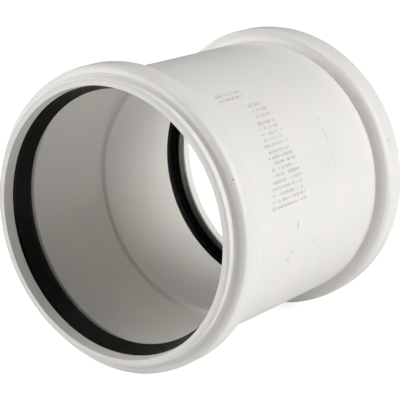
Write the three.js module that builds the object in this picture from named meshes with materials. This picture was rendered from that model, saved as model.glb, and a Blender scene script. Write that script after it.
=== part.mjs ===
// Push-fit coupling for 110 mm plastic drain pipe: one moulded body with a ring-seal socket at
// each end and a pipe stop in the middle, and a rubber lip seal held in the groove of each socket.
// Millimetres, +Z up. The pipe axis is Y, and the origin is the centre of the coupling.

import * as THREE from 'three';

// Overall sizes
const LENGTH = 130;
const HALF_LENGTH = LENGTH / 2;
const SEGMENTS = 64;            // flats around the axis, one of them facing straight down
const ARC_STEPS = 4;            // straight steps in each rounded corner of a section

// Bore and barrel, as radii
const MOUTH_RADIUS = 56;        // opening at the very end of a socket
const LEAD_RADIUS = 55.95;      // wide end of the short lead-in, just inside the mouth
const ENTRY_RADIUS = 55.45;     // narrow end of the lead-in, at the seal
const BORE_RADIUS = 55.6;       // socket wall: a 110 mm pipe with 0.6 mm clearance all round
const BARREL_RADIUS = 58.25;    // outside of the plain middle

// Mouth bead; depths are measured inwards from the end of the socket
const MOUTH_BREAK = 0.4;        // small break on the inner edge of the mouth
const RIM_RADIUS = 58.35;       // outer edge of the flat end face
const BEAD_RADIUS = 59.2;
const BEAD_START = 0.6;         // the end face turns into the bead over this depth
const BEAD_END = 2.8;

// Ring housing, the raised band around the groove
const HOUSING_RADIUS = 63.7;
const COVE_RADIUS = 60.5;       // the hollow behind the bead ends here in a crisp line
const COVE_DEPTH = 4.1;
const FRONT_ROUND_START = 61.4; // the front flank is almost square up to here, then rounded
const FRONT_ROUND_DEPTH = 4.4;
const FRONT_CREST_DEPTH = 6.8;  // where the front rounding meets the crest
const REAR_CREST_DEPTH = 15.2;  // where the rear rounding begins
const REAR_STEP_RADIUS = 60.4;  // where the rear rounding ends
const REAR_STEP_DEPTH = 18.2;
const HOUSING_END = 18.6;       // foot of the rear flank, on the barrel

// Seal groove inside the ring housing
const REBATE_START = 4.9;       // shallow seat for the nose of the seal
const REBATE_RADIUS = 56.6;
const GROOVE_START = 7;
const GROOVE_RADIUS = 60.9;
const GROOVE_FLOOR_START = 7.6;
const GROOVE_FLOOR_END = 14.6;
const GROOVE_END = 18.2;        // rear edge of the groove, on the bore

// Pipe stop, a low square band inside the middle of the body
const STOP_RADIUS = 53.6;
const STOP_HALF_WIDTH = 1.75;   // at its foot
const STOP_DRAFT = 0.3;         // its sides lean in by this much

// Lip seal, seated in the groove with a small assembly gap
const FIT_GAP = 0.3;
const NOSE_RADIUS = 55.3;       // rounded nose that stands just behind the lead-in
const NOSE_DEPTH = 6.4;
const FACE_START_RADIUS = 54.9;
const FACE_START_DEPTH = 7.6;
const LIP_RADIUS = 52.75;       // free edge of the lip: 2.25 mm smaller than the pipe
const LIP_DEPTH = 12.6;
const LIP_TIP_RADIUS = 0.45;
const LIP_ROOT_RADIUS = 56.3;
const LIP_ROOT_DEPTH = 10;
const NOTCH_RADIUS = 57.6;      // bottom of the notch behind the lip
const NOTCH_DEPTH = 11.6;
const HEEL_START_DEPTH = 13.6;
const HEEL_RADIUS = 56;         // rear heel, level with the bore
const HEEL_DEPTH = 17.5;

/** A point of a half section: distance from the axis, and depth in from the end of the socket. */
function at(radius, depth) {
  return new THREE.Vector2(radius, depth);
}

/** Points of a quarter ellipse around a centre, both ends included. */
function quarter(centre, radiusExtent, depthExtent, startAngle, endAngle) {
  const clockwise = endAngle < startAngle;
  const curve = new THREE.EllipseCurve(
    centre.x, centre.y, radiusExtent, depthExtent, startAngle, endAngle, clockwise);
  return curve.getPoints(ARC_STEPS);
}

/** Moves a half section to the front socket (side -1) or the rear socket (side 1). */
function place(section, side) {
  return section.map((p) => new THREE.Vector2(p.x, side * (HALF_LENGTH - p.y)));
}

/** Turns a closed section about the Y axis, with a flat of the ring facing straight down. */
function turn(section) {
  const closed = [...section, section[0].clone()];
  return new THREE.LatheGeometry(closed, SEGMENTS, Math.PI / SEGMENTS);
}

/** Inside of one socket, from the pipe stop in the middle out to the mouth. */
function socketInside() {
  const stopFootDepth = HALF_LENGTH - STOP_HALF_WIDTH;
  return [
    at(STOP_RADIUS, HALF_LENGTH),
    at(STOP_RADIUS, stopFootDepth + STOP_DRAFT),
    at(BORE_RADIUS, stopFootDepth),
    at(BORE_RADIUS, GROOVE_END),
    at(GROOVE_RADIUS, GROOVE_FLOOR_END),
    at(GROOVE_RADIUS, GROOVE_FLOOR_START),
    at(REBATE_RADIUS, GROOVE_START),
    at(REBATE_RADIUS, REBATE_START),
    at(ENTRY_RADIUS, REBATE_START),
    at(LEAD_RADIUS, MOUTH_BREAK),
    at(MOUTH_RADIUS, 0),
  ];
}

/** Outside of one socket, from the mouth to the foot of the ring housing on the barrel. */
function socketOutside() {
  const beadCentre = at(RIM_RADIUS, BEAD_START);
  const frontCentre = at(FRONT_ROUND_START, FRONT_CREST_DEPTH);
  const frontHeight = HOUSING_RADIUS - FRONT_ROUND_START;
  const frontRun = FRONT_CREST_DEPTH - FRONT_ROUND_DEPTH;
  const rearCentre = at(REAR_STEP_RADIUS, REAR_CREST_DEPTH);
  const rearHeight = HOUSING_RADIUS - REAR_STEP_RADIUS;
  const rearRun = REAR_STEP_DEPTH - REAR_CREST_DEPTH;
  return [
    ...quarter(beadCentre, BEAD_RADIUS - RIM_RADIUS, BEAD_START, 1.5 * Math.PI, 2 * Math.PI),
    at(BEAD_RADIUS, BEAD_END),
    at(COVE_RADIUS, COVE_DEPTH),
    ...quarter(frontCentre, frontHeight, frontRun, 1.5 * Math.PI, 2 * Math.PI),
    ...quarter(rearCentre, rearHeight, rearRun, 0, 0.5 * Math.PI),
    at(BARREL_RADIUS, HOUSING_END),
  ];
}

/** Section of the whole body: the front half, then the same half mirrored. */
function bodySection() {
  const half = [...socketInside(), ...socketOutside()];
  const rearHalf = place(half, 1).reverse();
  return [...place(half, -1), ...rearHalf.slice(0, -1)];
}

/** Section of a lip seal: the seated back, the rear heel, the notch, the lip, and the nose. */
function sealSection() {
  const tipCentre = at(LIP_RADIUS + LIP_TIP_RADIUS, LIP_DEPTH);
  return [
    at(REBATE_RADIUS - FIT_GAP, REBATE_START + FIT_GAP),
    at(REBATE_RADIUS - FIT_GAP, GROOVE_START + FIT_GAP),
    at(GROOVE_RADIUS - FIT_GAP, GROOVE_FLOOR_START + FIT_GAP),
    at(GROOVE_RADIUS - FIT_GAP, GROOVE_FLOOR_END - FIT_GAP),
    at(HEEL_RADIUS, HEEL_DEPTH),
    at(HEEL_RADIUS, HEEL_START_DEPTH),
    at(NOTCH_RADIUS, NOTCH_DEPTH),
    at(LIP_ROOT_RADIUS, LIP_ROOT_DEPTH),
    ...quarter(tipCentre, LIP_TIP_RADIUS, LIP_TIP_RADIUS, 0.5 * Math.PI, Math.PI),
    at(FACE_START_RADIUS, FACE_START_DEPTH),
    at(NOSE_RADIUS, NOSE_DEPTH),
  ];
}

const whitePlastic = new THREE.MeshStandardMaterial({ color: 0xefece6, roughness: 0.32, metalness: 0 });
const blackRubber = new THREE.MeshStandardMaterial({ color: 0x141513, roughness: 0.6, metalness: 0 });

/** Adds one named, turned piece to a group. */
function addTurned(group, name, section, material) {
  const mesh = new THREE.Mesh(turn(section), material);
  mesh.name = name;
  group.add(mesh);
}

const coupling = new THREE.Group();
addTurned(coupling, 'coupling_body', bodySection(), whitePlastic);
addTurned(coupling, 'lip_seal_front', place(sealSection(), -1), blackRubber);
addTurned(coupling, 'lip_seal_rear', place(sealSection(), 1).reverse(), blackRubber);

export default coupling;
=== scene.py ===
"""Looks of a push-fit coupling for 110 mm plastic drain pipe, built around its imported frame.

The coupling lies on its side with its axis along Y. Its moulded body and its two rubber lip seals are
turned solids: each starts as a closed half section, and a Geometry Nodes tree turns the section about
the axis. A second tree stands the low raised ticks on the barrel. Every length in a size field of the
coupling is in millimetres, and every mesh is in metres.
"""
from __future__ import annotations

import logging
import math
from dataclasses import dataclass, field
from enum import Enum
from typing import Mapping, Sequence, Union

import bpy
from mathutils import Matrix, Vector


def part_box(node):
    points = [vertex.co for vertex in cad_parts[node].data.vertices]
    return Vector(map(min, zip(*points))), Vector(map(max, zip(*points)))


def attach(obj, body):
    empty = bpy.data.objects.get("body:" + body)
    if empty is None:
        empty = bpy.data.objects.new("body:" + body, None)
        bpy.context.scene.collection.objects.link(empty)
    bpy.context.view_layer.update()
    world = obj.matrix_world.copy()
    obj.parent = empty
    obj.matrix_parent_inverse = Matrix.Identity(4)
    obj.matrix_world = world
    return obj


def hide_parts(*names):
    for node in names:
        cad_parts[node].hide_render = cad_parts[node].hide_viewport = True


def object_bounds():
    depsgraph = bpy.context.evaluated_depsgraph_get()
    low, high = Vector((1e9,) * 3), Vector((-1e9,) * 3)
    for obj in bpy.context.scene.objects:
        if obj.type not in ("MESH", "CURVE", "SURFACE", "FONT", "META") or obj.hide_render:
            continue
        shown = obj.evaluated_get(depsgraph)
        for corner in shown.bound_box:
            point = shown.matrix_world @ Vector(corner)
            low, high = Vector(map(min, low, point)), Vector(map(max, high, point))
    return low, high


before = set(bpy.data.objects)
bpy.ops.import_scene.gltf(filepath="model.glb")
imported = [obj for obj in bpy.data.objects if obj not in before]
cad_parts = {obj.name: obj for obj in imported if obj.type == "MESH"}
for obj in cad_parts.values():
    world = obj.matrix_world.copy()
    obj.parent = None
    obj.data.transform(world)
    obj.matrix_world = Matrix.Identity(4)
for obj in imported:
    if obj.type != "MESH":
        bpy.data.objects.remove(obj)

CAD_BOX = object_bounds()
MM = 0.001
SKIN = 60.0              # mean radius of the outside, used to size marks on it
STRAIGHT_ENOUGH = math.radians(1.0)     # a corner that turns less than this stays as it is
SURFACE_IOR = 1.5        # index of refraction of the plastic and the rubber
LOG = logging.getLogger("coupling")

Colour = tuple[float, float, float, float]
Point = tuple[float, float]
PURE_WHITE: Colour = (1.0, 1.0, 1.0, 1.0)


class Side(Enum):
    """The two ends of the coupling, as directions along its axis."""

    FRONT = -1
    REAR = 1


# ---------------------------------------------------------------------------------------------------
# Shader and geometry trees
# ---------------------------------------------------------------------------------------------------


class Line:
    """One value running through a node tree, with the usual arithmetic signs."""

    def __init__(self, bench: "Bench", socket: bpy.types.NodeSocket) -> None:
        """Wraps a socket.

        Args:
            bench: the tree that the socket belongs to.
            socket: the output socket that carries the value.
        """
        self.bench = bench
        self.socket = socket

    def _with(self, operation: str, first: "Feed", second: "Feed") -> "Line":
        """Adds a Math node that joins two values."""
        return self.bench.math(operation, first, second)

    def __add__(self, other: "Feed") -> "Line":
        """self + other."""
        return self._with("ADD", self, other)

    def __radd__(self, other: "Feed") -> "Line":
        """other + self."""
        return self._with("ADD", other, self)

    def __sub__(self, other: "Feed") -> "Line":
        """self - other."""
        return self._with("SUBTRACT", self, other)

    def __rsub__(self, other: "Feed") -> "Line":
        """other - self."""
        return self._with("SUBTRACT", other, self)

    def __mul__(self, other: "Feed") -> "Line":
        """self * other."""
        return self._with("MULTIPLY", self, other)

    def __rmul__(self, other: "Feed") -> "Line":
        """other * self."""
        return self._with("MULTIPLY", other, self)

    def __truediv__(self, other: "Feed") -> "Line":
        """self / other."""
        return self._with("DIVIDE", self, other)

    def __gt__(self, other: "Feed") -> "Line":
        """1 where self is more than other, else 0."""
        return self._with("GREATER_THAN", self, other)


Feed = Union[Line, float, int, Sequence[float]]


class Bench:
    """A node tree being wired: a material's shader tree or a Geometry Nodes tree."""

    def __init__(self, tree: bpy.types.NodeTree) -> None:
        """Starts wiring in an empty tree.

        Args:
            tree: the tree to add nodes to.
        """
        self.tree = tree

    def node(self, kind: str, settings: Mapping[str, object] | None = None,
             sockets: Mapping[Union[str, int], Feed] | None = None, out: Union[str, int] = 0) -> Line:
        """Adds one node.

        Args:
            kind: the node's type.
            settings: its properties, set before its sockets.
            sockets: values or links for its inputs, by name or number.
            out: the output to carry on with, by name or number.

        Returns:
            The chosen output.
        """
        made = self.tree.nodes.new(kind)
        for name, value in (settings or {}).items():
            setattr(made, name, value)
        for name, value in (sockets or {}).items():
            self.feed(made.inputs[name], value)
        return Line(self, made.outputs[out]) if made.outputs else Line(self, None)

    def feed(self, socket: bpy.types.NodeSocket, value: Feed) -> None:
        """Links a line into an input, or sets a plain value on it.

        Args:
            socket: the input.
            value: the line or the value.
        """
        if isinstance(value, Line):
            self.tree.links.new(value.socket, socket)
        else:
            socket.default_value = value

    def math(self, operation: str, *values: Feed) -> Line:
        """Adds a Math node for any operation on one to three values."""
        return self.node("ShaderNodeMath", {"operation": operation}, dict(enumerate(values)))

    def split(self, vector: Line) -> tuple[Line, ...]:
        """The X, Y and Z of a vector."""
        return tuple(self.node("ShaderNodeSeparateXYZ", {}, {"Vector": vector}, out=name)
                     for name in "XYZ")

    def vector(self, operation: str, *values: Feed, **sockets: Feed) -> Line:
        """Adds a Vector Math node; extra inputs such as Scale go by name."""
        return self.node("ShaderNodeVectorMath", {"operation": operation},
                         {**dict(enumerate(values)), **sockets})

    def mix(self, mask: Feed, first: Feed, second: Feed) -> Line:
        """Mixes two colours by a mask: first where it is 0, second where it is 1."""
        return self.node("ShaderNodeMix", {"data_type": "RGBA"}, {0: mask, 6: first, 7: second}, out=2)

    def chance(self, low: float, high: float, seed: Feed) -> Line:
        """A random value for each point, from a seed."""
        return self.node("FunctionNodeRandomValue", {"data_type": "FLOAT"},
                         {2: low, 3: high, "Seed": seed}, out=1)

    def step(self, value: Line, low: float, high: float) -> Line:
        """A smooth step from 0 to 1.

        Args:
            value: the value to step on.
            low: where the result is 0.
            high: where it is 1; it may be the smaller of the two.

        Returns:
            The stepped value.
        """
        sockets = {"Value": value, "From Min": low, "From Max": high, "To Min": 0.0, "To Max": 1.0}
        return self.node("ShaderNodeMapRange", {"interpolation_type": "SMOOTHSTEP"}, sockets)

    def relief(self, height: Line, strength: float, depth: float) -> Line:
        """A Bump node: fine relief from a height pattern.

        Args:
            height: the pattern.
            strength: how much of it shows, from 0 to 1.
            depth: the height of a full step of the pattern, in millimetres.

        Returns:
            The bent surface direction, for a Normal input.
        """
        return self.node("ShaderNodeBump", {},
                         {"Strength": strength, "Distance": depth * MM, "Height": height})


# ---------------------------------------------------------------------------------------------------
# Finishes
# ---------------------------------------------------------------------------------------------------


@dataclass(frozen=True)
class Finish:
    """What every finish shares: a name, and a Principled shader that its pattern feeds."""

    name: str

    def material(self) -> bpy.types.Material:
        """Builds the material.

        Returns:
            A new material with this finish.
        """
        material = bpy.data.materials.new(self.name)
        material.use_nodes = True
        material.node_tree.nodes.clear()
        bench = Bench(material.node_tree)
        shader = bench.node("ShaderNodeBsdfPrincipled")
        place = bench.node("ShaderNodeTexCoord", out="Object")
        self.dress(bench, shader.socket.node, bench.vector("SCALE", place, Scale=1.0 / MM))
        bench.node("ShaderNodeOutputMaterial", {}, {"Surface": shader})
        return material

    def dress(self, bench: Bench, shader: bpy.types.Node, place: Line) -> None:
        """Feeds the shader.

        Args:
            bench: the material's tree.
            shader: its Principled shader.
            place: the place on the piece, in millimetres.
        """
        raise NotImplementedError


@dataclass(frozen=True)
class Grain:
    """A soft random pattern, from 0 to 1."""

    scale: float             # grains per millimetre
    detail: float = 2.0      # how many finer layers are added
    roughness: float = 0.5   # how strong the finer layers are

    def over(self, bench: Bench, place: Line) -> Line:
        """The pattern over a place in millimetres."""
        sockets = {"Vector": place, "Scale": self.scale, "Detail": self.detail,
                   "Roughness": self.roughness}
        return bench.node("ShaderNodeTexNoise", {}, sockets)


class Stain(Enum):
    """What a mark on the plastic is made of, by its colour."""

    RUB = (0.420, 0.430, 0.420, 1.0)
    GRIT = (0.100, 0.085, 0.075, 1.0)
    YELLOW = (0.800, 0.700, 0.520, 1.0)


@dataclass(frozen=True)
class Scuff:
    """A small mark on the outside of the body, laid along or across the axis."""

    turn: float          # degrees round the axis from the top, towards +X
    along: float         # place along the axis
    around: float        # half size round the body
    length: float        # half size along the axis
    strength: float
    stain: Stain = Stain.RUB
    ragged: float = 0.6  # how far noise eats into it
    core: float = 0.4    # share of its size that is at full strength

    def mask(self, bench: Bench, arc: Line, along: Line, ragged: Line) -> Line:
        """Where the mark shows.

        Args:
            bench: the material's tree.
            arc: turn round the axis, in degrees.
            along: place along the axis.
            ragged: noise that breaks the mark up.

        Returns:
            0 away from the mark, up to its strength on it.
        """
        degree = math.pi * SKIN / 180
        across = (arc - self.turn) * (degree / self.around)
        down = (along - self.along) * (1.0 / self.length)
        spread = bench.math("SQRT", across * across + down * down) + ragged * self.ragged
        return bench.step(spread, 1.0 + self.ragged / 2, self.core) * self.strength


@dataclass(frozen=True)
class IvoryPlastic(Finish):
    """Smooth moulded white plastic, slightly warm, with flow marks, specks, scuffs and trimmed ends."""

    name: str = "ivory_plastic"
    light: Colour = (0.880, 0.858, 0.815, 1.0)
    shade: Colour = (0.855, 0.838, 0.800, 1.0)
    aged: Colour = (0.800, 0.735, 0.600, 1.0)
    speck: Colour = (0.120, 0.110, 0.100, 1.0)
    seam: Colour = (0.600, 0.520, 0.420, 1.0)
    roughness: float = 0.36
    end: float = 65.0            # place of the end faces along the axis, either way
    face_band: tuple[float, float] = (0.5, 0.2)      # depths over which the end face's finish fades in
    wall: tuple[float, float] = (56.5, 57.5)     # radii between which inside turns into outside
    seam_radius: float = 58.1    # fine brown ring that dirt leaves on the end face
    seam_half_width: float = 0.24
    seam_worn: tuple[float, float] = (0.15, 0.6)     # its least strength, and what wear adds
    clouds: Grain = Grain(0.035, 3.0)
    aging: Grain = Grain(0.06, 4.0, 0.6)
    wear: Grain = Grain(0.12, 5.0, 0.6)
    grain: Grain = Grain(0.9, 4.0, 0.55)
    dimples: Grain = Grain(1.6, 3.0, 0.5)
    trimming: Grain = Grain(1.0, 2.0, 0.6)
    cuts: tuple[float, float, float] = (5.0, 0.05, 0.02)     # stretch of the trimming: out, about, down
    cloudy: tuple[float, float] = (0.35, 0.65)       # parts of a pattern between which it shows
    yellowed: tuple[float, float] = (0.66, 0.80)
    aging_strength: float = 0.25
    speck_scale: float = 0.16
    speck_size: tuple[float, float] = (0.05, 0.02)   # outer and inner edge, as a share of the spacing
    speck_strength: float = 0.35
    wear_gloss: float = 0.16     # how far each of these moves the roughness
    grain_gloss: float = 0.06
    rub_gloss: float = 0.25
    trim_gloss: float = 0.12
    dimple_relief: float = 0.25  # heights against that of the wear
    trim_relief: float = 1.5
    relief_strength: float = 0.12
    relief_depth: float = 0.06
    scuffs: tuple[Scuff, ...] = (
        Scuff(65.3, -59.9, 0.42, 0.30, 0.85, Stain.GRIT, 0.1),
        Scuff(77.9, -57.2, 0.8, 0.5, 0.25),
        Scuff(140.5, -58.2, 1.3, 0.7, 0.5),
        Scuff(71.2, 52.7, 0.9, 0.5, 0.45),
        Scuff(91.7, -15.6, 2.0, 0.8, 0.5),
        Scuff(102.8, -17.4, 1.0, 0.9, 0.35),
        Scuff(105.4, -20.0, 0.9, 1.5, 0.35),
        Scuff(102.0, -12.6, 0.9, 0.5, 0.35, Stain.YELLOW),
        Scuff(101.5, -1.5, 1.4, 0.9, 0.22),
        Scuff(97.0, -9.5, 0.9, 0.4, 0.25),
        Scuff(53.5, 16.4, 1.6, 0.45, 0.40, Stain.RUB, 0.4),
        Scuff(60.5, 16.2, 4.5, 0.35, 0.38, Stain.RUB, 0.7),
        Scuff(71.5, 16.2, 5.0, 0.30, 0.32, Stain.RUB, 0.9),
        Scuff(54.5, 44.3, 0.8, 0.4, 0.35),
        Scuff(17.0, -58.5, 5.0, 2.4, 0.30, Stain.YELLOW),
        Scuff(35.5, -58.5, 3.0, 1.4, 0.26, Stain.YELLOW),
    )

    def dress(self, bench: Bench, shader: bpy.types.Node, place: Line) -> None:
        """Feeds the shader with the plastic's colour, gloss and fine relief.

        Args:
            bench: the material's tree.
            shader: its Principled shader.
            place: the place on the piece, in millimetres.
        """
        x, y, z = bench.split(place)
        radius = bench.math("SQRT", x * x + z * z)
        arc = bench.math("ARCTAN2", x, z) * (180 / math.pi)
        outside = bench.step(radius, *self.wall)
        grain = self.grain.over(bench, place)
        worn = self.wear.over(bench, place)

        cloudy = bench.step(self.clouds.over(bench, place), *self.cloudy)
        colour = bench.mix(cloudy, self.light, self.shade)
        yellowed = bench.step(self.aging.over(bench, place), *self.yellowed)
        colour = bench.mix(yellowed * self.aging_strength, colour, self.aged)
        specks = bench.node("ShaderNodeTexVoronoi", {"feature": "F1"},
                            {"Vector": place, "Scale": self.speck_scale, "Randomness": 1.0},
                            out="Distance")
        specked = bench.step(specks, *self.speck_size)
        colour = bench.mix(specked * self.speck_strength, colour, self.speck)
        rubbed: Feed = 0.0
        for scuff in self.scuffs:
            mask = scuff.mask(bench, arc, y, grain - 0.5) * outside
            colour = bench.mix(mask, colour, scuff.stain.value)
            rubbed = mask + rubbed

        fade, full = self.face_band
        face = bench.step(bench.math("ABSOLUTE", y), self.end - fade, self.end - full)
        off_seam = bench.math("ABSOLUTE", radius - self.seam_radius)
        dirt = bench.step(off_seam, self.seam_half_width, self.seam_half_width / 4)
        least, added = self.seam_worn
        seam = dirt * face * (least + worn * added)
        colour = bench.mix(seam, colour, self.seam)
        bench.feed(shader.inputs["Base Color"], colour)
        gloss = (worn - 0.5) * self.wear_gloss + (grain - 0.5) * self.grain_gloss
        gloss = gloss + rubbed * self.rub_gloss + self.roughness
        bench.feed(shader.inputs["Roughness"], gloss + face * self.trim_gloss)

        out, about, down = self.cuts
        turned = bench.node("ShaderNodeCombineXYZ", {}, {0: radius * out, 1: arc * about, 2: y * down})
        trimmed = self.trimming.over(bench, turned) * face
        dimples = self.dimples.over(bench, place)
        height = dimples * self.dimple_relief + worn + trimmed * self.trim_relief
        bump = bench.relief(height, self.relief_strength, self.relief_depth)
        bench.feed(shader.inputs["Normal"], bump)
        shader.inputs["IOR"].default_value = SURFACE_IOR


@dataclass(frozen=True)
class MarkPlastic(Finish):
    """The same white plastic on small raised marks, tinted darker than the body, and darker and rougher
    still in noise patches.
    """

    name: str = "mark_plastic"
    # Both colours are darker than the body's plastic. The second is laid over the marks in noise
    # patches.
    clean: Colour = (0.840, 0.820, 0.775, 1.0)
    dusty: Colour = (0.640, 0.620, 0.580, 1.0)
    roughness: float = 0.45
    dust: Grain = Grain(0.35, 4.0, 0.6)
    grain: Grain = Grain(3.0, 3.0, 0.5)
    settled: tuple[float, float] = (0.35, 0.65)      # parts of the dust between which it shows
    dust_gloss: float = 0.15
    grain_gloss: float = 0.10
    relief_strength: float = 0.2
    relief_depth: float = 0.05

    def dress(self, bench: Bench, shader: bpy.types.Node, place: Line) -> None:
        """Feeds the shader with the marks' colour, gloss and fine relief.

        Args:
            bench: the material's tree.
            shader: its Principled shader.
            place: the place on the piece, in millimetres.
        """
        dust = bench.step(self.dust.over(bench, place), *self.settled)
        grain = self.grain.over(bench, place)
        bench.feed(shader.inputs["Base Color"], bench.mix(dust, self.clean, self.dusty))
        gloss = dust * self.dust_gloss + (grain - 0.5) * self.grain_gloss + self.roughness
        bench.feed(shader.inputs["Roughness"], gloss)
        bump = bench.relief(grain, self.relief_strength, self.relief_depth)
        bench.feed(shader.inputs["Normal"], bump)
        shader.inputs["IOR"].default_value = SURFACE_IOR


@dataclass(frozen=True)
class LipRubber(Finish):
    """Black rubber with a dull sheen and a little dust."""

    name: str = "lip_rubber"
    deep: Colour = (0.0030, 0.0034, 0.0028, 1.0)
    dusty: Colour = (0.0060, 0.0064, 0.0056, 1.0)
    roughness: float = 0.30
    sheen_level: float = 0.20    # how strongly the surface reflects, against 0.5 for a glossy plastic
    dust: Grain = Grain(0.25, 5.0, 0.65)
    grain: Grain = Grain(2.2, 3.0, 0.6)
    settled: tuple[float, float] = (0.45, 0.75)      # parts of the dust between which it shows
    dust_gloss: float = 0.10
    grain_gloss: float = 0.10
    relief_strength: float = 0.2
    relief_depth: float = 0.05

    def dress(self, bench: Bench, shader: bpy.types.Node, place: Line) -> None:
        """Feeds the shader with the rubber's colour, dull gloss and fine relief.

        Args:
            bench: the material's tree.
            shader: its Principled shader.
            place: the place on the piece, in millimetres.
        """
        dust = bench.step(self.dust.over(bench, place), *self.settled)
        grain = self.grain.over(bench, place)
        bench.feed(shader.inputs["Base Color"], bench.mix(dust, self.deep, self.dusty))
        gloss = dust * self.dust_gloss + (grain - 0.5) * self.grain_gloss + self.roughness
        bench.feed(shader.inputs["Roughness"], gloss)
        bump = bench.relief(grain, self.relief_strength, self.relief_depth)
        bench.feed(shader.inputs["Normal"], bump)
        shader.inputs["IOR"].default_value = SURFACE_IOR
        shader.inputs["Specular IOR Level"].default_value = self.sheen_level


@dataclass(frozen=True)
class StudioPaper(Finish):
    """Plain matt white paper, lit a little from behind as on a light table."""

    name: str = "studio_paper"
    white: Colour = (0.90, 0.90, 0.90, 1.0)
    fibre: Colour = (0.87, 0.87, 0.87, 1.0)
    fibres: Grain = Grain(0.02, 4.0)
    fibrous: tuple[float, float] = (0.3, 0.7)        # parts of the pattern between which they show
    fibre_strength: float = 0.03
    roughness: float = 0.9
    sheen_level: float = 0.1
    glow: float = 0.026

    def dress(self, bench: Bench, shader: bpy.types.Node, place: Line) -> None:
        """Feeds the shader with an even white and its glow.

        Args:
            bench: the material's tree.
            shader: its Principled shader.
            place: the place on the piece, in millimetres.
        """
        fibrous = bench.step(self.fibres.over(bench, place), *self.fibrous)
        colour = bench.mix(fibrous * self.fibre_strength, self.white, self.fibre)
        bench.feed(shader.inputs["Base Color"], colour)
        shader.inputs["Roughness"].default_value = self.roughness
        shader.inputs["Specular IOR Level"].default_value = self.sheen_level
        shader.inputs["Emission Color"].default_value = PURE_WHITE
        shader.inputs["Emission Strength"].default_value = self.glow


@dataclass(frozen=True)
class Haze:
    """A clear sheet with a weak white glow."""

    name: str = "floor_haze"
    glow: float = 0.64

    def material(self) -> bpy.types.Material:
        """Builds the material: what is behind it, plus its glow.

        Returns:
            A new material.
        """
        material = bpy.data.materials.new(self.name)
        material.use_nodes = True
        material.node_tree.nodes.clear()
        bench = Bench(material.node_tree)
        clear = bench.node("ShaderNodeBsdfTransparent")
        glow = bench.node("ShaderNodeEmission", {}, {"Strength": self.glow})
        both = bench.node("ShaderNodeAddShader", {}, {0: clear, 1: glow})
        bench.node("ShaderNodeOutputMaterial", {}, {"Surface": both})
        return material


# ---------------------------------------------------------------------------------------------------
# Sections and turned solids
# ---------------------------------------------------------------------------------------------------


@dataclass(frozen=True)
class Corner:
    """A corner of a half section, rounded by a fillet."""

    radius: float        # distance from the axis
    depth: float         # distance inwards from the end of the socket
    fillet: float = 0.0


@dataclass(frozen=True)
class Outline:
    """A run of corners that becomes a fine polyline."""

    corners: tuple[Corner, ...]
    arc_step: float = 15.0       # degrees of turn in each step of a fillet
    support: float = 0.12        # a point this far before and after each fillet keeps its ends crisp
    fewest: int = 2              # the fewest steps in a fillet
    longest: float = 6.0         # the longest straight step
    share: float = 0.48          # how much of a straight a fillet at its end may take

    def points(self, closed: bool) -> list[Point]:
        """Rounds the corners and divides the straights.

        Args:
            closed: whether the last corner runs back to the first.

        Returns:
            The polyline's points, as radius and depth.
        """
        count = len(self.corners)
        arcs: list[list[Point]] = []
        for index, corner in enumerate(self.corners):
            if not closed and index in (0, count - 1):
                arcs.append([(corner.radius, corner.depth)])
                continue
            before = self.corners[index - 1]
            after = self.corners[(index + 1) % count]
            arcs.append(self._fillet(before, corner, after))
        line: list[Point] = []
        for index, arc in enumerate(arcs):
            line.extend(arc)
            if closed or index < count - 1:
                line.extend(self._straight(arc[-1], arcs[(index + 1) % count][0]))
        return line

    def _fillet(self, before: Corner, corner: Corner, after: Corner) -> list[Point]:
        """Rounds one corner.

        Args:
            before: the corner before it.
            corner: the corner itself.
            after: the corner after it.

        Returns:
            Points of the arc, or the corner alone if it stays sharp.
        """
        here = Vector((corner.radius, corner.depth))
        back = Vector((before.radius, before.depth)) - here
        ahead = Vector((after.radius, after.depth)) - here
        opening = back.angle(ahead)
        turn = math.pi - opening
        if corner.fillet <= 0.0 or turn < STRAIGHT_ENOUGH:
            return [tuple(here)]
        room = self.share * min(back.length, ahead.length)
        reach = min(corner.fillet / math.tan(opening / 2), room)
        radius = reach * math.tan(opening / 2)
        inwards = (back.normalized() + ahead.normalized()).normalized()
        centre = here + inwards * (radius / math.sin(opening / 2))
        start = here + back.normalized() * reach - centre
        end = here + ahead.normalized() * reach - centre
        sweep = start.angle_signed(end)
        steps = max(self.fewest, math.ceil(math.degrees(turn) / self.arc_step))
        points = []
        for index in range(steps + 1):
            angle = -sweep * index / steps
            turned = Vector((start.x * math.cos(angle) - start.y * math.sin(angle),
                             start.x * math.sin(angle) + start.y * math.cos(angle)))
            points.append(tuple(centre + turned))
        return points

    def _straight(self, start: Point, end: Point) -> list[Point]:
        """Divides the straight between two fillets.

        Args:
            start: where the first fillet ends.
            end: where the second fillet begins.

        Returns:
            Points close beside each fillet and evenly spaced between.
        """
        first, last = Vector(start), Vector(end)
        run = (last - first).length
        if run < 3 * self.support:
            return []
        steps = max(1, math.ceil((run - 2 * self.support) / self.longest))
        gap = (run - 2 * self.support) / steps
        along = (last - first).normalized()
        return [tuple(first + along * (self.support + gap * index)) for index in range(steps + 1)]


def geometry_tree(name: str, kinds: Mapping[str, str]) -> tuple[Bench, dict[str, Line]]:
    """Starts a Geometry Nodes tree.

    Args:
        name: the tree's name.
        kinds: the kind of each named input.

    Returns:
        The tree being wired, and a line from each of its inputs.
    """
    tree = bpy.data.node_groups.new(name, "GeometryNodeTree")
    for label, kind in kinds.items():
        tree.interface.new_socket(label, in_out="INPUT", socket_type="NodeSocket" + kind)
    tree.interface.new_socket("Result", in_out="OUTPUT", socket_type="NodeSocketGeometry")
    bench = Bench(tree)
    given = bench.node("NodeGroupInput").socket.node
    return bench, {label: Line(bench, given.outputs[label]) for label in kinds}


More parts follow.
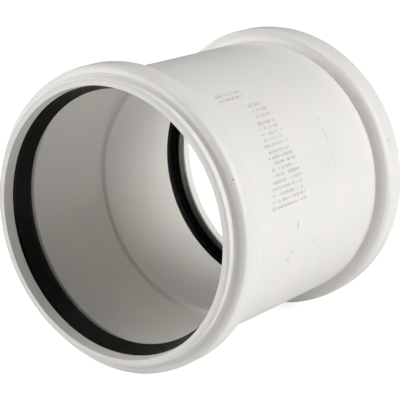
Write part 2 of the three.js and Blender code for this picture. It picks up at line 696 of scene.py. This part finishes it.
def finish_tree(bench: Bench, shape: Line, finish: Line) -> bpy.types.NodeTree:
    """Ends a Geometry Nodes tree: shades the shape smooth, makes it real and gives it its material.

    Args:
        bench: the tree being wired.
        shape: the finished shape.
        finish: the input that carries its material.

    Returns:
        The tree.
    """
    smooth = bench.node("GeometryNodeSetShadeSmooth", {}, {"Geometry": shape, "Shade Smooth": True})
    real = bench.node("GeometryNodeRealizeInstances", {}, {"Geometry": smooth})
    done = bench.node("GeometryNodeSetMaterial", {}, {"Geometry": real, "Material": finish})
    bench.node("NodeGroupOutput", {}, {"Result": done})
    return bench.tree


@dataclass(frozen=True)
class Lathe:
    """Turns a closed section about the Y axis, by a Geometry Nodes tree."""

    segments: int = 256
    core: float = 56.0       # radius of the ring that the section is swept along

    def tree(self) -> bpy.types.NodeTree:
        """The node tree: the section's edges become a curve, swept round a ring and laid along Y.

        Returns:
            The tree, with the section as its first input.
        """
        bench, line = geometry_tree("turned_solid", {
            "Section": "Geometry", "Segments": "Int", "Core radius": "Float", "Finish": "Material"})
        section = bench.node("GeometryNodeMeshToCurve", {}, {"Mesh": line["Section"]})
        ring = bench.node("GeometryNodeCurvePrimitiveCircle", {"mode": "RADIUS"},
                          {"Resolution": line["Segments"], "Radius": line["Core radius"]})
        swept = bench.node("GeometryNodeCurveToMesh", {}, {"Curve": ring, "Profile Curve": section})
        laid = bench.node("GeometryNodeTransform", {},
                          {"Geometry": swept, "Rotation": (math.pi / 2, 0, 0)})
        return finish_tree(bench, laid, line["Finish"])

    def turn(self, name: str, section: Sequence[Point],
             material: bpy.types.Material) -> bpy.types.Object:
        """Turns a section into a finished piece.

        Args:
            name: the piece's name.
            section: closed run of points, as radius and place along Y, anticlockwise.
            material: its finish.

        Returns:
            The piece, a plain mesh in metres.
        """
        count = len(section)
        places = [((radius - self.core) * MM, along * MM, 0.0) for radius, along in section]
        edges = [(index, (index + 1) % count) for index in range(count)]
        return bake(name, places, edges, self.tree(), {
            "Segments": self.segments,
            "Core radius": self.core * MM,
            "Finish": material,
        })


def bake(name: str, places: Sequence[Sequence[float]], edges: Sequence[tuple[int, int]],
         tree: bpy.types.NodeTree, settings: Mapping[str, object]) -> bpy.types.Object:
    """Runs a Geometry Nodes tree on a wire and keeps the result as a plain mesh.

    Args:
        name: the finished piece's name.
        places: the wire's points, in metres.
        edges: the wire's edges.
        tree: the tree to run.
        settings: values of the tree's named inputs.

    Returns:
        The finished piece, with no modifier left on it.
    """
    wire = bpy.data.meshes.new(name + "_wire")
    wire.from_pydata(places, edges, [])
    piece = bpy.data.objects.new(name, wire)
    bpy.context.scene.collection.objects.link(piece)
    modifier = piece.modifiers.new("build", "NODES")
    modifier.node_group = tree
    for item in tree.interface.items_tree:
        if item.name in settings:
            modifier[item.identifier] = settings[item.name]
    evaluated = piece.evaluated_get(bpy.context.evaluated_depsgraph_get())
    mesh = bpy.data.meshes.new_from_object(evaluated)
    piece.modifiers.remove(modifier)
    piece.data = mesh
    mesh.name = name
    bpy.data.meshes.remove(wire)
    return piece


# ---------------------------------------------------------------------------------------------------
# The coupling
# ---------------------------------------------------------------------------------------------------


def end_of(node: str) -> float:
    """How far a CAD node reaches along +Y, in millimetres."""
    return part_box(node)[1].y / MM


def reach_of(node: str) -> float:
    """How far a CAD node reaches sideways from the axis, in millimetres."""
    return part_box(node)[1].x / MM


@dataclass
class Body:
    """The moulded body: two sockets, their ring housings and the pipe stop in the middle."""

    finish: Finish
    half_length: float = field(default_factory=lambda: end_of("coupling_body"))
    crest: float = field(default_factory=lambda: reach_of("coupling_body"))
    mouth: float = 56.0          # radii: the opening at the end,
    entry: float = 55.45         # the narrow end of the lead-in,
    bore: float = 55.6           # the socket wall,
    stop: float = 53.6           # the pipe stop,
    rebate: float = 56.6         # the seat for the nose of the seal,
    groove: float = 60.9         # the floor of the groove,
    rim: float = 58.35           # the outer edge of the end face,
    bead: float = 59.2           # the bead behind it,
    cove: float = 60.5           # the crisp line at the foot of the housing,
    barrel: float = 58.25        # and the plain middle
    stop_half_width: float = 1.75
    stop_draft: float = 0.3
    rebate_start: float = 4.9    # depths from the end of the socket
    groove_start: float = 7.0
    groove_floor: tuple[float, float] = (7.6, 14.6)
    groove_end: float = 18.2
    cove_depth: float = 4.1
    crest_flat: tuple[float, float] = (7.6, 14.8)
    housing_end: float = 18.65
    rings: tuple[float, ...] = (56.6, 57.1, 57.55, 58.05)    # radii of the fine rings on the end face
    ring_width: float = 0.22
    ring_depth: float = 0.09

    def inside(self) -> tuple[Corner, ...]:
        """Corners from the middle of the pipe stop out to the mouth.

        Returns:
            The corners, in order.
        """
        foot = self.half_length - self.stop_half_width
        return (
            Corner(self.stop, self.half_length),
            Corner(self.stop, foot + self.stop_draft, 0.35),
            Corner(self.bore, foot, 0.12),
            Corner(self.bore, self.groove_end, 0.25),
            Corner(self.groove, self.groove_floor[1], 0.8),
            Corner(self.groove, self.groove_floor[0], 0.8),
            Corner(self.rebate, self.groove_start, 0.2),
            Corner(self.rebate, self.rebate_start, 0.1),
            Corner(self.entry, self.rebate_start, 0.15),
            Corner(self.mouth - 0.02, 0.4, 0.3),
            Corner(self.mouth, 0.0, 0.12),
        )

    def end_face(self) -> tuple[Corner, ...]:
        """Corners of the fine rings left by the trimming tool on the flat end face.

        Returns:
            Three corners for each ring.
        """
        corners: list[Corner] = []
        for radius in self.rings:
            half = self.ring_width / 2
            corners.append(Corner(radius - half, 0.0))
            corners.append(Corner(radius, self.ring_depth))
            corners.append(Corner(radius + half, 0.0))
        return tuple(corners)

    def outside(self) -> tuple[Corner, ...]:
        """Corners from the end face over the ring housing to the middle of the barrel.

        Returns:
            The corners, in order.
        """
        return (
            Corner(self.rim, 0.0, 0.1),
            Corner(self.bead - 0.05, 0.45, 0.5),
            Corner(self.bead, 1.4, 1.5),
            Corner(self.bead - 0.2, 3.15, 0.6),
            Corner(self.cove, self.cove_depth, 0.04),
            Corner(self.crest - 1.35, 4.4, 1.6),
            Corner(self.crest - 0.3, 5.4, 1.6),
            Corner(self.crest, self.crest_flat[0], 2.5),
            Corner(self.crest, self.crest_flat[1], 3.0),
            Corner(self.crest - 1.0, 16.8, 2.5),
            Corner(self.barrel + 2.4, 18.2, 2.5),
            Corner(self.barrel, self.housing_end, 0.3),
            Corner(self.barrel, self.half_length),
        )

    def section(self) -> list[Point]:
        """The closed section of the whole body, as radius and place along Y.

        Returns:
            Its points, anticlockwise.
        """
        corners = (*self.inside(), *self.end_face(), *self.outside())
        half = Outline(corners).points(closed=False)
        front = [(radius, depth - self.half_length) for radius, depth in half]
        rear = [(radius, self.half_length - depth) for radius, depth in reversed(half)]
        return anticlockwise([*front, *rear[1:-1]])

    def build(self) -> bpy.types.Object:
        """Makes the body and puts it in place of its CAD solid.

        Returns:
            The finished piece.
        """
        piece = Lathe().turn("moulded_body", self.section(), self.finish.material())
        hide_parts("coupling_body")
        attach(piece, "root")
        return piece


def anticlockwise(points: Sequence[Point]) -> list[Point]:
    """Puts a closed outline in anticlockwise order, so that its solid faces out.

    Args:
        points: the outline's points, in either order.

    Returns:
        The same points, anticlockwise.
    """
    following = [*points[1:], points[0]]
    area = sum(here[0] * there[1] - there[0] * here[1] for here, there in zip(points, following))
    return list(points) if area > 0 else list(reversed(points))


@dataclass
class LipSeal:
    """A rubber lip seal seated in the groove of one socket."""

    side: Side
    finish: Finish
    half_length: float = field(default_factory=lambda: end_of("coupling_body"))

    def corners(self) -> tuple[Corner, ...]:
        """Corners of the seal: its seated back, the heel, the notch, the lip and the nose.

        Returns:
            The corners, in order round the section.
        """
        return (
            Corner(56.3, 5.2, 0.2),
            Corner(56.3, 7.2, 0.3),
            Corner(60.6, 7.9, 0.6),
            Corner(60.6, 14.3, 0.6),
            Corner(56.0, 17.5, 0.4),
            Corner(56.0, 13.6, 0.4),
            Corner(57.6, 11.6, 0.5),
            Corner(56.3, 10.0, 0.3),
            Corner(53.3, 13.0, 0.35),
            Corner(52.8, 12.5, 0.35),
            Corner(54.9, 7.6, 1.0),
            Corner(55.3, 6.4, 0.6),
        )

    def build(self) -> bpy.types.Object:
        """Makes the seal and puts it in place of its CAD solid.

        Returns:
            The finished piece.
        """
        line = Outline(self.corners()).points(closed=True)
        section = [(radius, self.side.value * (self.half_length - depth)) for radius, depth in line]
        word = self.side.name.lower()
        piece = Lathe().turn("rubber_seal_" + word, anticlockwise(section), self.finish.material())
        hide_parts("lip_seal_" + word)
        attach(piece, "root")
        return piece


@dataclass(frozen=True)
class TickBand:
    """A few rows of ticks that run along the axis, one row above the next round the barrel."""

    first_turn: float    # degrees round the axis from the top, towards +X
    last_turn: float
    rows: int
    start: float         # ends of the rows, along the axis
    stop: float
    slip: float = 0.0    # how far each row starts before the one above it

    def places(self, pitch: float, radius: float) -> list[tuple[float, float, float]]:
        """Where ticks may stand.

        Args:
            pitch: distance between ticks in a row.
            radius: radius of the barrel.

        Returns:
            Points with the place along the axis as Y and the distance round the barrel as Z, in metres.
        """
        found = []
        for row in range(self.rows):
            share = row / max(1, self.rows - 1)
            turn = self.first_turn + (self.last_turn - self.first_turn) * share
            start = self.start - self.slip * row
            for index in range(int((self.stop - start) / pitch) + 1):
                found.append((0.0, (start + pitch * index) * MM, math.radians(turn) * radius * MM))
        return found


@dataclass
class RaisedTicks:
    """Low raised ticks moulded on the barrel where the maker's data would stand; they spell nothing."""

    finish: Finish
    barrel: float = 58.25
    pitch: float = 1.12
    length: float = 0.95         # half length of the longest tick
    shortest: float = 0.55       # the shortest tick, as a share of the longest
    width: float = 0.21          # half width
    height: float = 0.26         # how far a tick stands out of the barrel
    keep: float = 0.84           # share of the places that get a tick
    lying: float = 0.22          # share of the ticks that lie along the axis
    lying_length: float = 0.6    # and how long those are, as a share of the others
    roundness: int = 3           # subdivisions of each tick
    seed: int = 7
    bands: tuple[TickBand, ...] = (
        TickBand(31.2, 33.8, 2, -33.5, -16.8),
        TickBand(39.4, 44.8, 3, -20.5, -10.8),
        TickBand(48.0, 57.6, 5, -23.0, -10.8, 0.9),
        TickBand(60.3, 67.0, 4, -26.8, -10.4, 0.3),
        TickBand(69.5, 81.6, 6, -29.0, -9.4, 0.8),
    )

    def tree(self) -> bpy.types.NodeTree:
        """The node tree: thins out the places, wraps them round the barrel, stands a tick on each.

        Returns:
            The tree, with the places as its first input.
        """
        bench, line = geometry_tree("raised_ticks", {
            "Places": "Geometry", "Barrel": "Float", "Length": "Float", "Width": "Float",
            "Height": "Float", "Keep": "Float", "Lying": "Float", "Seed": "Int", "Finish": "Material"})
        chance = bench.chance(0.0, 1.0, line["Seed"])
        kept = bench.node("GeometryNodeDeleteGeometry", {"domain": "POINT"},
                          {"Geometry": line["Places"], "Selection": chance > line["Keep"]})
        points = bench.node("GeometryNodeMeshToPoints", {"mode": "VERTICES"}, {"Mesh": kept})
        place = bench.node("GeometryNodeInputPosition")
        x, y, z = bench.split(place)
        turn = z / line["Barrel"]
        wrapped = bench.node("ShaderNodeCombineXYZ", {}, {
            0: bench.math("SINE", turn) * line["Barrel"],
            1: y,
            2: bench.math("COSINE", turn) * line["Barrel"],
        })
        stood = bench.node("GeometryNodeSetPosition", {}, {"Geometry": points, "Position": wrapped})

        lean = bench.node("ShaderNodeCombineXYZ", {}, {1: bench.math("ARCTAN2", x, z)})
        lies = line["Lying"] > bench.chance(0.0, 1.0, line["Seed"] + 1)
        reach = line["Length"] * bench.chance(self.shortest, 1.0, line["Seed"] + 2)
        size = bench.node("ShaderNodeCombineXYZ", {}, {
            0: reach * (1 - lies) + line["Width"] * lies,
            1: reach * self.lying_length * lies + line["Width"] * (1 - lies),
            2: line["Height"],
        })
        tick = bench.node("GeometryNodeMeshIcoSphere", {},
                          {"Radius": 1.0, "Subdivisions": self.roundness}, out="Mesh")
        ticks = bench.node("GeometryNodeInstanceOnPoints", {},
                           {"Points": stood, "Instance": tick, "Rotation": lean, "Scale": size})
        return finish_tree(bench, ticks, line["Finish"])

    def build(self) -> bpy.types.Object:
        """Makes the ticks as one piece that rides on the body.

        Returns:
            The finished piece.
        """
        places = [place for band in self.bands for place in band.places(self.pitch, self.barrel)]
        piece = bake("raised_ticks", places, [], self.tree(), {
            "Barrel": self.barrel * MM,
            "Length": self.length * MM,
            "Width": self.width * MM,
            "Height": self.height * MM,
            "Keep": self.keep,
            "Lying": self.lying,
            "Seed": self.seed,
            "Finish": self.finish.material(),
        })
        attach(piece, "root")
        return piece


# ---------------------------------------------------------------------------------------------------
# The studio
# ---------------------------------------------------------------------------------------------------


@dataclass(frozen=True)
class SoftBox:
    """A square soft light that faces the coupling."""

    name: str
    azimuth: float       # degrees seen from above: 0 in front of the front socket, 90 on the +X side
    elevation: float     # degrees above the floor
    watts: float
    distance: float = 1.5    # metres
    size: float = 0.8        # metres

    def hang(self) -> bpy.types.Object:
        """Makes the light.

        Returns:
            The light.
        """
        data = bpy.data.lights.new(self.name, "AREA")
        data.shape = "SQUARE"
        data.size = self.size
        data.energy = self.watts
        light = bpy.data.objects.new(self.name, data)
        bpy.context.scene.collection.objects.link(light)
        away = direction(self.azimuth, self.elevation)
        light.location = away * self.distance
        light.rotation_euler = away.to_track_quat("Z", "Y").to_euler()
        return light


def direction(azimuth: float, elevation: float) -> Vector:
    """The way from the coupling towards a place.

    Args:
        azimuth: degrees seen from above: 0 in front of the front socket, 90 on the +X side.
        elevation: degrees above the floor.

    Returns:
        A unit vector.
    """
    turn, rise = math.radians(azimuth), math.radians(elevation)
    return Vector((math.sin(turn) * math.cos(rise), -math.cos(turn) * math.cos(rise), math.sin(rise)))


@dataclass
class Studio:
    """The floor, the lights and the camera around the coupling."""

    azimuth: float = 36.17       # where the camera stands, in the angles of the lights
    elevation: float = 15.39
    distance: float = 657.2      # millimetres from the middle of the coupling
    sideways: float = -1.63      # millimetres that it stands off to its own right
    upwards: float = -4.02
    lens: float = 137.36         # focal length in millimetres on the sensor below
    sensor: float = 36.0
    far_end: float = 50.0        # metres that the camera sees
    floor_size: float = 2.6      # metres
    floor_gap: float = 0.05      # millimetres between the floor and the ring housings
    sheet_gap: float = 0.04      # millimetres from the floor up to the haze
    backdrop: float = 1.0        # brightness of the surround
    boxes: tuple[SoftBox, ...] = (
        SoftBox("key_low", 108.0, 12.0, 10.4),
        SoftBox("key_high", 114.0, 38.0, 7.5),
        SoftBox("fill_front", 324.0, 12.0, 11.0),
        SoftBox("fill_high", 337.5, 38.0, 1.7),
        SoftBox("fill_side", 292.5, 38.0, 1.3),
        SoftBox("overhead", 0.0, 88.0, 5.5),
        SoftBox("fill_back", 252.0, 12.0, 6.0),
        SoftBox("back_high", 202.5, 38.0, 0.8),
    )

    def level(self, name: str, height: float, material: bpy.types.Material) -> bpy.types.Object:
        """Lays a square sheet as part of the studio.

        Args:
            name: the sheet's name.
            height: where it lies, in metres.
            material: its material.

        Returns:
            The sheet.
        """
        half = self.floor_size / 2
        mesh = bpy.data.meshes.new(name)
        corners = [(x * half, y * half, height) for x, y in ((-1, -1), (1, -1), (1, 1), (-1, 1))]
        mesh.from_pydata(corners, [], [(0, 1, 2, 3)])
        mesh.materials.append(material)
        sheet = bpy.data.objects.new(name, mesh)
        bpy.context.scene.collection.objects.link(sheet)
        return sheet

    def floor(self) -> None:
        """A plain pale floor just under the ring housings, with a sheet of haze that whitens it."""
        low = CAD_BOX[0].z - self.floor_gap * MM
        self.level("floor", low, StudioPaper().material())
        haze = self.level("floor_haze", low + self.sheet_gap * MM, Haze().material())
        haze.visible_diffuse = False
        haze.visible_glossy = False
        haze.visible_transmission = False
        haze.visible_shadow = False

    def backcloth(self) -> None:
        """A white surround that the camera sees and that lights nothing."""
        world = bpy.data.worlds.new("studio")
        bpy.context.scene.world = world
        world.use_nodes = True
        background = world.node_tree.nodes["Background"]
        background.inputs["Color"].default_value = PURE_WHITE
        background.inputs["Strength"].default_value = self.backdrop
        world.cycles_visibility.diffuse = False
        world.cycles_visibility.glossy = False
        world.cycles_visibility.transmission = False

    def camera(self) -> bpy.types.Object:
        """The camera, looking down a little past the front socket.

        Returns:
            The scene's camera.
        """
        data = bpy.data.cameras.new("camera")
        data.sensor_width = self.sensor
        data.lens = self.lens
        data.clip_end = self.far_end
        camera = bpy.data.objects.new("camera", data)
        bpy.context.scene.collection.objects.link(camera)
        back = direction(self.azimuth, self.elevation)
        facing = back.to_track_quat("Z", "Y")
        right = facing @ Vector((1.0, 0.0, 0.0))
        up = facing @ Vector((0.0, 1.0, 0.0))
        camera.rotation_euler = facing.to_euler()
        camera.location = (right * self.sideways + up * self.upwards + back * self.distance) * MM
        bpy.context.scene.camera = camera
        return camera

    def build(self) -> None:
        """Sets up the whole studio."""
        bpy.context.scene.view_settings.view_transform = "Standard"
        self.floor()
        self.backcloth()
        for box in self.boxes:
            box.hang()
        self.camera()


def main() -> None:
    """Builds the coupling and its studio, in order."""
    logging.basicConfig(level=logging.INFO, format="%(message)s")
    Studio().build()
    plastic = IvoryPlastic()
    rubber = LipRubber()
    parts = [
        Body(plastic),
        LipSeal(Side.FRONT, rubber),
        LipSeal(Side.REAR, rubber),
        RaisedTicks(MarkPlastic()),
    ]
    for part in parts:
        piece = part.build()
        LOG.info("%s: %d faces", piece.name, len(piece.data.polygons))


if __name__ == "__main__":
    main()
